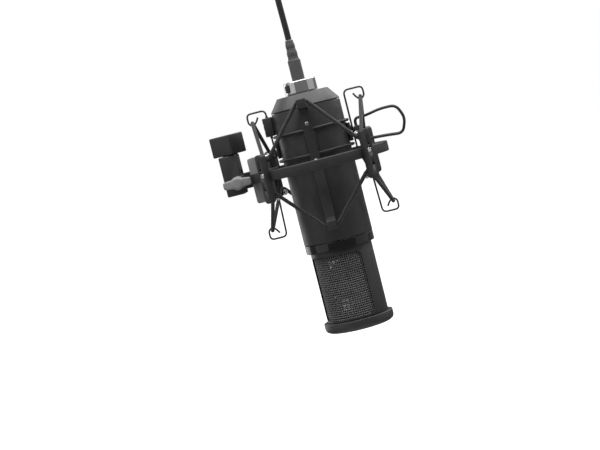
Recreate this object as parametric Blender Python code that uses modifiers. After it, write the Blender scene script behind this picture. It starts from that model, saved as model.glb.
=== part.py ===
"""A condenser microphone hung tail-up in its elastic shock mount.

Everything is laid out from the ring plane on the microphone's axis, which the empty
ring_centre holds.  The world's origin is the seating face of the stand socket.
Sizes are in millimetres and are turned to metres where a mesh is made.
"""
import math

import bmesh
import bpy
from mathutils import Matrix, Vector

MM = 0.001
GAP = 0.3

# where the ring's centre stands from the stand socket's seating face
RING_X, RING_Z = 56.0, -32.2

# microphone
BODY_R, BODY_WALL = 23.0, 1.5
BODY_TOP, BODY_LOW = 37.5, -51.2
COLLAR_LOW = -57.2
GRILLE_R, GRILLE_WALL, GRILLE_LOW = 20.5, 0.8, -104.2
END_LOW, CAP_R = -111.8, 23.2
WINDOW_TURN = -21.0
WINDOW_HALF, WINDOW_TOP, WINDOW_LOW = 17.7, -60.3, -103.0
TAIL_TOP, TAIL_TOP_R = 46.6, 17.0
SOCKET_R = 9.8
CAPSULE_Z, CAPSULE_R = -79.0, 12.5

# lead
BOOT_R, BOOT_TOP = 4.2, 82.0
LEAD_R, LEAD_END = 2.0, 140.0
CLIP_Z = 143.0

# cradle
HOOP_R, HOOP_WIRE = 24.6, 1.0
HOOP_HIGH, HOOP_DEEP = 22.7, 6.6
STRIP_IN, STRIP_OUT, STRIP_HALF = 25.9, 27.4, 3.1
SHELF_Z, SHELF_OUT, LIP_Z = 39.5, 33.5, 43.0
HOOK_WIRE = 0.6
HANDLE_WIRE, HANDLE_X, HANDLE_Y = 0.9, 29.2, 2.7

# elastic
ELASTIC_R = 1.25

# outer ring
RING_IN, RING_OUT, RING_HALF = 41.5, 46.4, 3.3
POST_IN, POST_OUT, POST_HALF = 45.6, 50.2, 3.1
POST_TOP, POST_LOW = 14.8, -17.0
PEG_R, PEG_HIGH, PEG_DEEP = 1.0, 12.6, -14.8
PEG_HEAD_R, PEG_TIP, PEG_LANE = 1.9, 41.0, 43.6
CHEEK_LEFT, CHEEK_RIGHT = -45.2, -38.6

# swivel
PIVOT_X, SPINDLE_X = -54.0, -56.0
TONGUE_R, TONGUE_HALF = 5.2, 3.6
YOKE_LEFT, YOKE_RIGHT, YOKE_HALF = -63.3, -51.2, 9.0
YOKE_TOP, YOKE_LOW, SLOT_HALF, SLOT_TOP = 18.7, -7.9, 4.7, 8.0
SOCKET_SIDE, SOCKET_TOP, SOCKET_LOW, SOCKET_BORE = 16.5, 32.2, 19.0, 5.3
BOLT_R = 2.3

for old in list(bpy.data.objects):
    bpy.data.objects.remove(old, do_unlink=True)


def collection(name):
    """A collection of that name in the scene, empty."""
    found = bpy.data.collections.get(name) or bpy.data.collections.new(name)
    if name not in bpy.context.scene.collection.children:
        bpy.context.scene.collection.children.link(found)
    return found


PARTS = collection("condenser_microphone")
CUTTERS = collection("cutters")

ring_centre = bpy.data.objects.new("ring_centre", None)
ring_centre.location = Vector((RING_X, 0, RING_Z)) * MM
PARTS.objects.link(ring_centre)


# materials -------------------------------------------------------------------
def material(name, colour, roughness, metallic=0.0):
    """A Principled material with one colour."""
    made = bpy.data.materials.new(name)
    made.use_nodes = True
    shader = made.node_tree.nodes["Principled BSDF"]
    shader.inputs["Base Color"].default_value = (*colour, 1.0)
    shader.inputs["Roughness"].default_value = roughness
    shader.inputs["Metallic"].default_value = metallic
    return made


BLACK_PAINT = material("black_painted_metal", (0.022, 0.023, 0.025), 0.42, 0.3)
GLOSS_BAND = material("gloss_black_band", (0.01, 0.01, 0.011), 0.15)
GRILLE_STEEL = material("blackened_steel_mesh", (0.09, 0.09, 0.09), 0.4, 0.9)
BLACK_PLASTIC = material("moulded_black_plastic", (0.025, 0.026, 0.028), 0.5)
CHROME = material("chrome", (0.75, 0.75, 0.76), 0.12, 1.0)
SPRING_WIRE = material("black_spring_wire", (0.03, 0.03, 0.032), 0.35, 0.6)
RUBBER = material("black_rubber", (0.02, 0.02, 0.02), 0.75)
ELASTIC = material("braided_elastic", (0.035, 0.036, 0.04), 0.85)
GOLD = material("gold_film", (0.8, 0.58, 0.2), 0.25, 1.0)
BRASS = material("brass", (0.62, 0.46, 0.18), 0.35, 1.0)
BOARD = material("circuit_board_green", (0.02, 0.16, 0.06), 0.5)
STEEL = material("zinc_plated_steel", (0.5, 0.5, 0.5), 0.35, 1.0)
WIRE_RED = material("pvc_wire", (0.3, 0.02, 0.02), 0.5)


# helpers ---------------------------------------------------------------------
def place(obj, finish, group=PARTS):
    """Link an object under the ring's centre, with its material."""
    group.objects.link(obj)
    obj.parent = ring_centre
    if group is CUTTERS:
        obj.hide_render = True
        obj.display_type = "WIRE"
    if finish is not None:
        obj.data.materials.append(finish)
    return obj


def smooth(mesh, angle=35):
    """Smooth a mesh, and keep the edges sharper than an angle."""
    mesh.shade_smooth()
    mesh.set_sharp_from_angle(angle=math.radians(angle))


def turned(name, profile, finish, steps=32, group=PARTS):
    """A body turned about Z from points (radius, height) that run down the outer side."""
    on_axis = profile[0][0] == 0 and profile[-1][0] == 0
    count = len(profile)
    edges = [(i, i + 1) for i in range(count - 1)]
    if not on_axis:
        edges.append((count - 1, 0))
    mesh = bpy.data.meshes.new(name)
    mesh.from_pydata([(r * MM, 0, z * MM) for r, z in profile], edges, [])
    obj = place(bpy.data.objects.new(name, mesh), finish, group)
    screw = obj.modifiers.new("turn", "SCREW")
    screw.steps = screw.render_steps = steps
    screw.use_merge_vertices = True
    screw.merge_threshold = 0.00001
    screw.use_smooth_shade = True
    return obj


def solid(name, shapes, finish, group=PARTS):
    """One object from shapes, each a function that adds closed faces to a bmesh."""
    body = bmesh.new()
    for shape in shapes:
        shape(body)
    mesh = bpy.data.meshes.new(name)
    body.to_mesh(mesh)
    body.free()
    smooth(mesh)
    return place(bpy.data.objects.new(name, mesh), finish, group)


def block(low, high, turn=0.0, about=(0.0, 0.0)):
    """A box between two corners, turned about a vertical line, in degrees."""

    def add(body):
        size = [(b - a) * MM for a, b in zip(low, high)]
        middle = Vector([(a + b) / 2 * MM for a, b in zip(low, high)])
        line = Vector((about[0] * MM, about[1] * MM, 0))
        spin = Matrix.Translation(line) @ Matrix.Rotation(math.radians(turn), 4, "Z")
        spin = spin @ Matrix.Translation(middle - line)
        bmesh.ops.create_cube(body, size=1, matrix=spin @ Matrix.Diagonal((*size, 1)))

    return add


def rod(start, end, radius, sides=12, tip=None):
    """A cylinder, or a cone with a tip radius, from one point to another."""

    def add(body):
        a, b = Vector(start) * MM, Vector(end) * MM
        turn = (b - a).to_track_quat("Z", "Y").to_matrix().to_4x4()
        bmesh.ops.create_cone(
            body, cap_ends=True, segments=sides, radius1=radius * MM,
            radius2=(radius if tip is None else tip) * MM, depth=(b - a).length,
            matrix=Matrix.Translation((a + b) / 2) @ turn)

    return add


def wire(name, points, radius, finish, closed=False, resolution=1):
    """A round wire along points in millimetres."""
    curve = bpy.data.curves.new(name, "CURVE")
    curve.dimensions = "3D"
    curve.bevel_depth = radius * MM
    curve.bevel_resolution = resolution
    curve.use_fill_caps = True
    line = curve.splines.new("POLY")
    line.points.add(len(points) - 1)
    for point, place_mm in zip(line.points, points):
        point.co = (*(Vector(place_mm) * MM), 1)
    line.use_cyclic_u = closed
    return place(bpy.data.objects.new(name, curve), finish)


def rounded(points, radius, cuts=3, closed=False):
    """A path with each corner eased by a short curve that starts a radius from it."""
    count = len(points)
    corners = [Vector(p) for p in points]
    path = []
    for i, corner in enumerate(corners):
        if not closed and i in (0, count - 1):
            path.append(corner)
            continue
        before, after = corners[i - 1], corners[(i + 1) % count]
        reach = min(radius, (corner - before).length * 0.45, (after - corner).length * 0.45)
        a = corner + (before - corner).normalized() * reach
        b = corner + (after - corner).normalized() * reach
        for step in range(cuts + 1):
            t = step / cuts
            path.append((1 - t) ** 2 * a + 2 * t * (1 - t) * corner + t ** 2 * b)
    return path


def around(azimuth, radius, across, height):
    """A point at an azimuth in degrees and a radius, moved across, at a height."""
    a = math.radians(azimuth)
    out, side = Vector((math.cos(a), math.sin(a), 0)), Vector((-math.sin(a), math.cos(a), 0))
    return out * radius + side * across + Vector((0, 0, height))


def combine(obj, other, operation):
    """A live Boolean of one object with another."""
    step = obj.modifiers.new(operation.lower(), "BOOLEAN")
    step.operation = operation
    step.object = other
    step.solver = "EXACT"


def bevelled(obj, width, segments=2, angle=30):
    """Rounded edges."""
    step = obj.modifiers.new("rounding", "BEVEL")
    step.width = width * MM
    step.segments = segments
    step.limit_method = "ANGLE"
    step.angle_limit = math.radians(angle)


FRONT, RIGHT, BACK, LEFT = -90, 0, 90, 180
POSTS = {"front_right": -45, "back_right": 45, "back_left": 135, "front_left": -135}


# microphone body -------------------------------------------------------------
def make_housing():
    inner = BODY_R - BODY_WALL
    turned("body_tube", [(BODY_R, BODY_TOP), (BODY_R, BODY_LOW),
                         (inner, BODY_LOW), (inner, BODY_TOP)], BLACK_PAINT, 40)
    spigot = inner - GAP
    turned("body_collar", [(spigot, -47), (spigot, BODY_LOW - GAP), (BODY_R - 0.1, BODY_LOW - GAP),
                           (BODY_R - 0.1, COLLAR_LOW), (18.4, COLLAR_LOW), (18.4, -47)],
           GLOSS_BAND, 40)
    turned("tail_cone", [(TAIL_TOP_R, TAIL_TOP), (BODY_R, BODY_TOP + 1), (BODY_R, BODY_TOP + GAP),
                         (spigot, BODY_TOP + GAP), (spigot, 31), (SOCKET_R, 31),
                         (SOCKET_R, TAIL_TOP)], BLACK_PAINT, 40)
    frame_top = COLLAR_LOW - GAP
    wall = GRILLE_R - GRILLE_WALL
    frame = turned("grille_frame", [(GRILLE_R, frame_top), (GRILLE_R, GRILLE_LOW),
                                    (wall, GRILLE_LOW), (wall, frame_top)], BLACK_PAINT, 40)
    window = solid("window_cutter", [block((-WINDOW_HALF, -30, WINDOW_LOW),
                                           (WINDOW_HALF, 30, WINDOW_TOP), WINDOW_TURN)],
                   None, CUTTERS)
    bevelled(window, 4, 3)
    combine(frame, window, "DIFFERENCE")
    turned("grille_mesh", [(19.4, frame_top - GAP), (19.4, GRILLE_LOW), (18.9, GRILLE_LOW),
                           (18.9, frame_top - GAP)], GRILLE_STEEL, 40)
    turned("grille_end_cap", [(0, -101.5), (18.5, -101.5), (18.5, GRILLE_LOW - GAP),
                              (CAP_R, GRILLE_LOW - GAP), (CAP_R, -108.6), (22.5, -110.2),
                              (20.6, -111.3), (17.2, END_LOW), (0, END_LOW)], BLACK_PAINT, 40)


def pin_places(radius=4.2):
    """The three contacts of the connector, as azimuths a quarter turn apart."""
    return [around(azimuth, radius, 0, 0) for azimuth in (0, 90, 180)]


def raised(point, height):
    return (point.x, point.y, height)


def make_connector():
    """The microphone's male insert, and the lead's plug that sits on it."""
    insert = turned("xlr_insert", [(0, 36), (9.5, 36), (9.5, 32), (0, 32)], BLACK_PLASTIC, 24)
    holes = solid("insert_holes", [rod(raised(p, 30), raised(p, 38), 1.5, 10)
                                   for p in pin_places()], None, CUTTERS)
    combine(insert, holes, "DIFFERENCE")
    for number, p in enumerate(pin_places(), 1):
        solid(f"xlr_pin_{number}", [rod(raised(p, 28), raised(p, 45), 1.2, 10)], BRASS)
    shell = turned("plug_shell", [(BOOT_R + 0.4, 55.2), (10.2, 55.2), (10.7, 54.7), (10.7, 47),
                                  (9.3, 47), (9.3, 37.2), (8.4, 37.2), (8.4, 52.8),
                                  (BOOT_R + 0.4, 52.8)], CHROME, 32)
    combine(shell, solid("latch_window", [block((7.5, -2.4, 48.8), (12, 2.4, 53.4), -140)],
                         None, CUTTERS), "DIFFERENCE")
    core = turned("plug_insert", [(0, 51), (8.0, 51), (8.0, 37.5), (0, 37.5)], BLACK_PLASTIC, 24)
    combine(core, solid("core_holes", [rod(raised(p, 36), raised(p, 46), 1.5, 10)
                                       for p in pin_places()], None, CUTTERS), "DIFFERENCE")
    solid("plug_latch", [block((8.9, -2.0, 49.2), (11.4, 2.0, 53.0), -140)], BLACK_PLASTIC)
    turned("plug_boot", [(0, BOOT_TOP), (2.6, BOOT_TOP), (2.9, 80), (BOOT_R, 68), (BOOT_R, 51.3),
                         (0, 51.3)], RUBBER, 20)


def lead_route():
    """The lead's own points: straight out of the boot, then easing towards the boom arm."""
    lean = [(0.0, 0.0), (0.0, 6.0), (-0.1, 12.0), (-0.2, 18.0), (-0.3, 24.0), (-0.3, 30.0),
            (-0.2, 36.0), (0.0, 42.0), (0.4, 48.0), (1.0, 54.0), (1.7, LEAD_END - BOOT_TOP - GAP)]
    return [(x, 0.0, BOOT_TOP + GAP + z) for x, z in lean]


def make_lead():
    """The stretch of lead up to the clip that the boom arm would hold."""
    wire("lead_cord", lead_route(), LEAD_R, RUBBER, resolution=2)
    x = lead_route()[-1][0]
    low, high = LEAD_END + GAP, CLIP_Z + 3
    clip = solid("cable_clip", [block((x - 9, -4, low), (x + 4, 4, high))], BLACK_PLASTIC)
    bevelled(clip, 1.0)
    hole = solid("clip_hole", [rod((x - 5.5, -6, CLIP_Z + 0.2), (x - 5.5, 6, CLIP_Z + 0.2), 1.7)],
                 None, CUTTERS)
    combine(clip, hole, "DIFFERENCE")


# inside the microphone -------------------------------------------------------
def make_insides():
    for name, side in (("chassis_rail_left", -1), ("chassis_rail_right", 1)):
        near, far = sorted((side * 16, side * 19))
        solid(name, [block((near, -3, -46.5), (far, 3, 30.6))], STEEL)
    solid("circuit_board", [block((-15.5, 1.2, -40), (15.5, 2.8, 24))], BOARD)
    solid("capacitor_large", [rod((5, 0.9, 13), (5, -9, 13), 5, 14)], BLACK_PLASTIC)
    solid("capacitor_small", [rod((-7, 0.9, 13), (-7, -7, 13), 3.5, 14)], BLACK_PLASTIC)
    solid("output_transformer", [block((-8, -9, -34), (8, 0.9, -18))], STEEL)


def facing(x, y, z):
    """A point of the capsule group, turned to face the window."""
    spun = Matrix.Rotation(math.radians(WINDOW_TURN), 4, "Z") @ Vector((x, y, z))
    return tuple(spun)


def make_capsule():
    turned("capsule_bulkhead", [(0, -57.9), (18.3, -57.9), (18.3, -60.6), (0, -60.6)], STEEL, 24)
    saddle = solid("capsule_saddle", [block((-9, -6.5, -64.5), (9, 6.5, -60.9), WINDOW_TURN)],
                   BLACK_PLASTIC)
    for side in (-1, 1):
        near, far = sorted((side * (CAPSULE_R + 0.6), side * (CAPSULE_R + 2.6)))
        inner, outer = sorted((side * 8, side * (CAPSULE_R + 2.2)))
        post = solid(f"saddle_post_{side + 1}",
                     [block((near, -3, CAPSULE_Z - 5), (far, 3, -61.5), WINDOW_TURN)],
                     None, CUTTERS)
        shelf = solid(f"saddle_shelf_{side + 1}",
                      [block((inner, -2.5, -64), (outer, 2.5, -61.3), WINDOW_TURN)],
                      None, CUTTERS)
        combine(saddle, post, "UNION")
        combine(saddle, shelf, "UNION")
    solid("capsule_housing", [rod(facing(0, 4, CAPSULE_Z), facing(0, -4, CAPSULE_Z),
                                  CAPSULE_R, 28)], BRASS)
    solid("capsule_diaphragm", [rod(facing(0, -4.3, CAPSULE_Z), facing(0, -4.6, CAPSULE_Z),
                                    CAPSULE_R - 3.3, 28)], GOLD)
    ring = solid("capsule_clamp_ring", [rod(facing(0, -4.3, CAPSULE_Z), facing(0, -5.6, CAPSULE_Z),
                                            CAPSULE_R, 28)], BRASS)
    hole = solid("clamp_ring_hole", [rod(facing(0, -4, CAPSULE_Z), facing(0, -6, CAPSULE_Z),
                                         CAPSULE_R - 3, 28)], None, CUTTERS)
    combine(ring, hole, "DIFFERENCE")
    for name, x in (("capsule_wire_left", -4), ("capsule_wire_right", 4)):
        path = [(x, 4.6, CAPSULE_Z + 2), (x, 7.4, CAPSULE_Z + 4), (x, 7.6, -63), (x, 7.4, -60.9)]
        wire(name, rounded([facing(*p) for p in path], 2), 0.5, WIRE_RED)


# cradle ----------------------------------------------------------------------
def strip_outline():
    """Half of a cradle strip, seen from the side: (radius, height) from its middle up."""
    return [(STRIP_OUT, 0), (STRIP_OUT, SHELF_Z - 4), (SHELF_OUT, SHELF_Z - 2.5), (SHELF_OUT, LIP_Z),
            (SHELF_OUT - 1.3, LIP_Z), (SHELF_OUT - 1.6, SHELF_Z), (STRIP_IN, SHELF_Z),
            (STRIP_IN, 0)]


def make_strip(name, azimuth):
    """A flat steel strip with a hooked shelf at each end for the elastic."""
    upper = strip_outline()
    lower = [(r, -z) for r, z in reversed(upper[1:-1])]
    outline = bpy.data.curves.new(name, "CURVE")
    outline.dimensions = "2D"
    outline.fill_mode = "BOTH"
    outline.extrude = STRIP_HALF * MM
    edge = outline.splines.new("POLY")
    points = upper + lower
    edge.points.add(len(points) - 1)
    for point, (r, z) in zip(edge.points, points):
        point.co = (r * MM, z * MM, 0, 1)
    edge.use_cyclic_u = True
    strip = place(bpy.data.objects.new(name, outline), BLACK_PAINT)
    strip.rotation_euler = (math.radians(90), 0, math.radians(azimuth))


def hook_path(side):
    """A side hook in its own plane: (distance out, height), curled at both ends."""
    path = [(32.2, 38.4), (33.9, 35.4), (36.5, 33.4), (39.1, 35.4), (39.1, 41.7), (26.5, 41.7),
            (26.5, 2.0), (31.8, -16.0), (32.6, -42.0), (43.6, -42.0), (43.6, -36.0),
            (41.0, -34.1), (38.4, -36.0), (36.6, -38.8)]
    return rounded([(side * x, 0, z) for x, z in path], 3.2, 3)


def handle_path(side):
    """A squeeze handle: a closed loop of wire whose near side is its own pivot."""
    flare = 0.05
    loop = [(HANDLE_X, 22.5), (36, 22.3), (47, 24.4), (57.5, 24.2), (61.6, 15.0), (58.0, 5.4),
            (46.8, 6.6), (36, 7.2), (HANDLE_X, 6.6)]
    return rounded([(x, side * (HANDLE_Y + (x - HANDLE_X) * flare), z) for x, z in loop],
                   4.0, 3, closed=True)


def make_cradle():
    for name, height in (("hoop_upper", HOOP_HIGH), ("hoop_lower", HOOP_DEEP)):
        circle = [around(i * 9, HOOP_R, 0, height) for i in range(40)]
        wire(name, circle, HOOP_WIRE, SPRING_WIRE, closed=True)
    make_strip("cradle_strip_front", FRONT)
    make_strip("cradle_strip_back", BACK)
    wire("cradle_hook_right", hook_path(1), HOOK_WIRE, SPRING_WIRE)
    wire("cradle_hook_left", hook_path(-1), HOOK_WIRE, SPRING_WIRE)
    hinge = solid("cradle_hinge_block", [block((-29.6, -4.5, 24.1), (-23.4, 4.5, 36.6))],
                  BLACK_PLASTIC)
    combine(hinge, solid("hinge_hole", [rod((-26.5, 0, 20), (-26.5, 0, 40), 1.0, 10)],
                         None, CUTTERS), "DIFFERENCE")
    for name, azimuth in (("front", FRONT), ("right", RIGHT), ("back", BACK), ("left", LEFT)):
        outer = 25.5
        solid(f"grip_pad_{name}", [block((BODY_R + 0.35, -4, 8.6), (outer, 4, 20.7), azimuth)],
              RUBBER)
    bracket = solid("handle_bracket", [block((27.5, -5.4, 11.5), (31.4, 5.4, 17.5))],
                    BLACK_PLASTIC)
    combine(bracket, solid("bracket_holes", [rod((HANDLE_X, y, 9), (HANDLE_X, y, 20), 1.45, 12)
                                             for y in (-HANDLE_Y, HANDLE_Y)], None, CUTTERS),
            "DIFFERENCE")
    wire("handle_front", handle_path(-1), HANDLE_WIRE, SPRING_WIRE, closed=True)
    wire("handle_back", handle_path(1), HANDLE_WIRE, SPRING_WIRE, closed=True)


# elastic ---------------------------------------------------------------------
def elastic_path(strip_z, hook_out, hook_z, peg_z, dip):
    """A closed zigzag: over each cradle hook, and round each peg of the ring."""
    path = []
    for azimuth in (FRONT, RIGHT, BACK, LEFT):
        if azimuth in (FRONT, BACK):
            hold = [(29.8, across, strip_z) for across in (-3.3, 3.3)]
        else:
            hold = [(hook_out, across, hook_z) for across in (-1.1, 1.1)]
        path += [around(azimuth, *point) for point in hold]
        path += [around(azimuth + 45, PEG_LANE, across, peg_z + lift)
                 for across, lift in ((-1.9, dip), (0, 0), (1.9, dip))]
    return path


def make_elastic():
    wire("elastic_upper", elastic_path(41.1, 36.5, 35.6, 9.9, 0.35), ELASTIC_R, ELASTIC, True)
    wire("elastic_lower", elastic_path(-41.1, 41.0, -36.3, -12.1, -0.35), ELASTIC_R, ELASTIC,
         True)


# outer ring ------------------------------------------------------------------
def make_peg(name, azimuth, height):
    """A headed pin that points at the microphone and holds the elastic."""
    length = POST_IN - GAP - PEG_TIP
    pin = turned(name, [(0, length), (PEG_HEAD_R, length), (PEG_HEAD_R, length - 0.9),
                        (PEG_R, length - 0.9), (PEG_R, 0), (0, 0)], CHROME, 12)
    pin.location = around(azimuth, POST_IN - GAP, 0, height) * MM
    pin.rotation_euler = (0, math.radians(-90), math.radians(azimuth))


def make_ring():
    ease = 0.6
    ring = turned("outer_ring", [(RING_OUT - ease, RING_HALF), (RING_OUT, RING_HALF - ease),
                                 (RING_OUT, ease - RING_HALF), (RING_OUT - ease, -RING_HALF),
                                 (RING_IN, -RING_HALF), (RING_IN, RING_HALF)],
                  BLACK_PLASTIC, 48)
    neck = solid("ring_neck", [block((PIVOT_X, -TONGUE_HALF, -TONGUE_R),
                                     (-RING_OUT + 2.5, TONGUE_HALF, TONGUE_R))], None, CUTTERS)
    eye = solid("ring_eye", [rod((PIVOT_X, -TONGUE_HALF, 0), (PIVOT_X, TONGUE_HALF, 0),
                                 TONGUE_R, 24)], None, CUTTERS)
    bore = solid("tongue_bore", [rod((PIVOT_X, -8, 0), (PIVOT_X, 8, 0), BOLT_R + GAP, 16)],
                 None, CUTTERS)
    combine(ring, neck, "UNION")
    combine(ring, eye, "UNION")
    combine(ring, bore, "DIFFERENCE")
    for name, side in (("front", -1), ("back", 1)):
        near, far = sorted((side * 6.9, side * 9.3))
        cheek = solid(f"ring_cheek_{name}", [block((CHEEK_LEFT, near, -16.4),
                                                   (CHEEK_RIGHT, far, 13.6))], None, CUTTERS)
        combine(ring, cheek, "UNION")
    for name, azimuth in POSTS.items():
        post = solid(f"post_{name}", [block((POST_IN, -POST_HALF, POST_LOW),
                                            (POST_OUT, POST_HALF, POST_TOP), azimuth)],
                     None, CUTTERS)
        combine(ring, post, "UNION")
        make_peg(f"peg_upper_{name}", azimuth, PEG_HIGH)
        make_peg(f"peg_lower_{name}", azimuth, PEG_DEEP)


# swivel ----------------------------------------------------------------------
def make_swivel():
    yoke = solid("swivel_yoke", [block((YOKE_LEFT, -YOKE_HALF, YOKE_LOW),
                                       (YOKE_RIGHT, YOKE_HALF, YOKE_TOP))], BLACK_PLASTIC)
    lug = solid("yoke_lug", [rod((PIVOT_X, -YOKE_HALF, 0), (PIVOT_X, YOKE_HALF, 0), 5.4, 24)],
                None, CUTTERS)
    spindle = solid("yoke_spindle", [rod((SPINDLE_X, 0, YOKE_TOP - 2), (SPINDLE_X, 0, 26.4),
                                         SOCKET_BORE - GAP, 24)], None, CUTTERS)
    slot = solid("yoke_slot", [block((-70, -SLOT_HALF, -12), (-40, SLOT_HALF, SLOT_TOP))],
                 None, CUTTERS)
    bore = solid("yoke_bore", [rod((PIVOT_X, -12, 0), (PIVOT_X, 12, 0), BOLT_R + GAP, 16)],
                 None, CUTTERS)
    combine(yoke, lug, "UNION")
    combine(yoke, spindle, "UNION")
    combine(yoke, slot, "DIFFERENCE")
    combine(yoke, bore, "DIFFERENCE")

    half = SOCKET_SIDE / 2
    socket = solid("stand_socket", [block((SPINDLE_X - half, -half, SOCKET_LOW),
                                          (SPINDLE_X + half, half, SOCKET_TOP), -31,
                                          (SPINDLE_X, 0))], BLACK_PLASTIC)
    bevelled(socket, 0.8, 1)
    hole = solid("socket_hole", [rod((SPINDLE_X, 0, 10), (SPINDLE_X, 0, 40), SOCKET_BORE, 24)],
                 None, CUTTERS)
    combine(socket, hole, "DIFFERENCE")

    bolt = solid("pivot_bolt", [rod((PIVOT_X, -17.5, 0), (PIVOT_X, 10, 0), BOLT_R, 16)], STEEL)
    head = solid("bolt_head", [rod((PIVOT_X, YOKE_HALF + GAP, 0), (PIVOT_X, 12.6, 0), 4.2, 6)],
                 None, CUTTERS)
    combine(bolt, head, "UNION")
    knob = solid("wing_knob", [rod((PIVOT_X, -YOKE_HALF - GAP, 0), (PIVOT_X, -20, 0), 4.4, 20)],
                 BLACK_PLASTIC)
    for side in (-1, 1):
        wing = solid(f"knob_wing_{side + 1}",
                     [rod((PIVOT_X + side * 2, -18.6, 0), (PIVOT_X + side * 9, -18.6, 0), 4.0, 12,
                          1.6)], None, CUTTERS)
        combine(knob, wing, "UNION")
    knob_bore = solid("knob_bore", [rod((PIVOT_X, -18, 0), (PIVOT_X, 0, 0), BOLT_R + GAP, 16)],
                      None, CUTTERS)
    combine(knob, knob_bore, "DIFFERENCE")


make_housing()
make_connector()
make_lead()
make_insides()
make_capsule()
make_cradle()
make_elastic()
make_ring()
make_swivel()
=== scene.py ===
# %% [markdown]
# # A condenser microphone in its elastic shock mount
#
# The microphone hangs tail-up in a wire cradle.  Two elastic cords hold the cradle in an outer
# ring, and the ring is hinged to a socket that screws onto a boom arm.  The frame that is loaded
# here has every part's size and place, so each fine piece is modelled where its plain part is.

# %% Load the frame
import math

import bmesh
import bpy
from mathutils import Matrix, Vector


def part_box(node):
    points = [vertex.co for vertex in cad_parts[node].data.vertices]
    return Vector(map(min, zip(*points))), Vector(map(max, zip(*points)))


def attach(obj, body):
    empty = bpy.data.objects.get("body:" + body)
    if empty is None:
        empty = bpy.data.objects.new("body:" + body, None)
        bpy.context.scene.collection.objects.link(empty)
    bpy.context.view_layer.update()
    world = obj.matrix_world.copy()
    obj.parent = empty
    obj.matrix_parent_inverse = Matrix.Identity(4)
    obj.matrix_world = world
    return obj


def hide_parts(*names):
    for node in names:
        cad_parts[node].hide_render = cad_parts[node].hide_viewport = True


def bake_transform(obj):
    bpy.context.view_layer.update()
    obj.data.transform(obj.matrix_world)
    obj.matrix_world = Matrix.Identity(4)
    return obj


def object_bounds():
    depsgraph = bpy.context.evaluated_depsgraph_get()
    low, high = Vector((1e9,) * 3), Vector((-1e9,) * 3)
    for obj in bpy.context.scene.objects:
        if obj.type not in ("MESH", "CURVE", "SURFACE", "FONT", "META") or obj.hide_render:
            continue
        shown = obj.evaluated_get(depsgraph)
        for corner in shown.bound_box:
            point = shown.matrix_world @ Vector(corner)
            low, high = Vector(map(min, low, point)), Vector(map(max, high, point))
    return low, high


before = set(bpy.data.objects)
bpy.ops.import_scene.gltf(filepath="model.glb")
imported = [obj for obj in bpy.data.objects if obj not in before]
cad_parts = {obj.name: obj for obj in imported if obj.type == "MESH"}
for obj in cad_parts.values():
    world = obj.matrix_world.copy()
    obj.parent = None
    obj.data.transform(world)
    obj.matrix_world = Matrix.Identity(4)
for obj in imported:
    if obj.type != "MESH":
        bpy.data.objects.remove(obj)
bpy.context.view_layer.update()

MM = 0.001
GAP = 0.3    # millimetres left between pieces that fit together

# %% [markdown]
# ## Where things are
#
# Every size below is in millimetres from the middle of the outer ring, on the microphone's axis.
# The body tube's own box gives that point, because the tube ends 37.5 mm above the ring's middle.

# %% The ring's middle
BODY_TOP = 37.5
tube_low, tube_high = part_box("body_tube")
RING = Vector(((tube_low[0] + tube_high[0]) / 2, 0.0, tube_high[2] - BODY_TOP * MM))
FRONT, RIGHT, BACK, LEFT = -90, 0, 90, 180
POSTS = {"front_right": -45, "back_right": 45, "back_left": 135, "front_left": -135}


def at(x, y, z):
    """A point given in millimetres from the ring's middle, in metres."""
    return RING + Vector((x, y, z)) * MM


def around(azimuth, radius, across, height):
    """A point at an azimuth and a radius, moved across, at a height, in millimetres."""
    a = math.radians(azimuth)
    out, side = Vector((math.cos(a), math.sin(a), 0)), Vector((-math.sin(a), math.cos(a), 0))
    return out * radius + side * across + Vector((0, 0, height))


print("ring's middle", [round(v, 4) for v in RING])

# %% [markdown]
# ## Camera
#
# The microphone is seen nearly level, from a little to its right, and the camera is rolled so
# that the tail leans to the left.  A long lens from over a metre away keeps the tube's sides
# parallel, as in a catalogue picture.

# %% Camera
VIEW_AZIMUTH, VIEW_ROLL, DISTANCE, LENS = 5.0, 14.2, 1.1, 100.5
turn = math.radians(VIEW_AZIMUTH)
view_right = Vector((math.cos(turn), math.sin(turn), 0))
view_back = Vector((math.sin(turn), -math.cos(turn), 0))
aim = RING + view_right * -0.0225 + Vector((0, 0, -0.0369))
eye = aim + view_back * DISTANCE
eye.z = RING.z + 0.030
roll = math.radians(VIEW_ROLL)
lean = Vector((0, 0, math.cos(roll))) + view_right * math.sin(roll)

bpy.ops.object.camera_add(location=eye)
camera = bpy.context.object
camera.name = "catalogue_camera"
back = (eye - aim).normalized()
side = lean.cross(back).normalized()
camera.rotation_euler = Matrix((side, back.cross(side), back)).transposed().to_euler()
camera.data.lens = LENS
camera.data.sensor_width = 36
camera.data.clip_start, camera.data.clip_end = 0.05, 50
bpy.context.scene.camera = camera
print("camera at", [round(v, 3) for v in eye])

# %% [markdown]
# ## Bench tools
#
# An operator works on whatever is selected, and the frame leaves its parts selected, so each
# piece starts with nothing selected.  These helpers hold the few moves that every piece needs.


# %% Selecting one piece, and edit mode
def clear():
    """Nothing is selected, and no object is in edit mode."""
    if bpy.context.object is not None and bpy.context.object.mode != "OBJECT":
        bpy.ops.object.mode_set(mode="OBJECT")
    bpy.ops.object.select_all(action="DESELECT")


def active(piece):
    """Only this piece is selected."""
    clear()
    piece.select_set(True)
    bpy.context.view_layer.objects.active = piece
    return piece


def edit(piece):
    """Edit mode on this piece, with all of its points selected."""
    active(piece)
    bpy.ops.object.mode_set(mode="EDIT")
    bpy.ops.mesh.select_mode(type="VERT")
    bpy.ops.mesh.select_all(action="SELECT")


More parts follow.
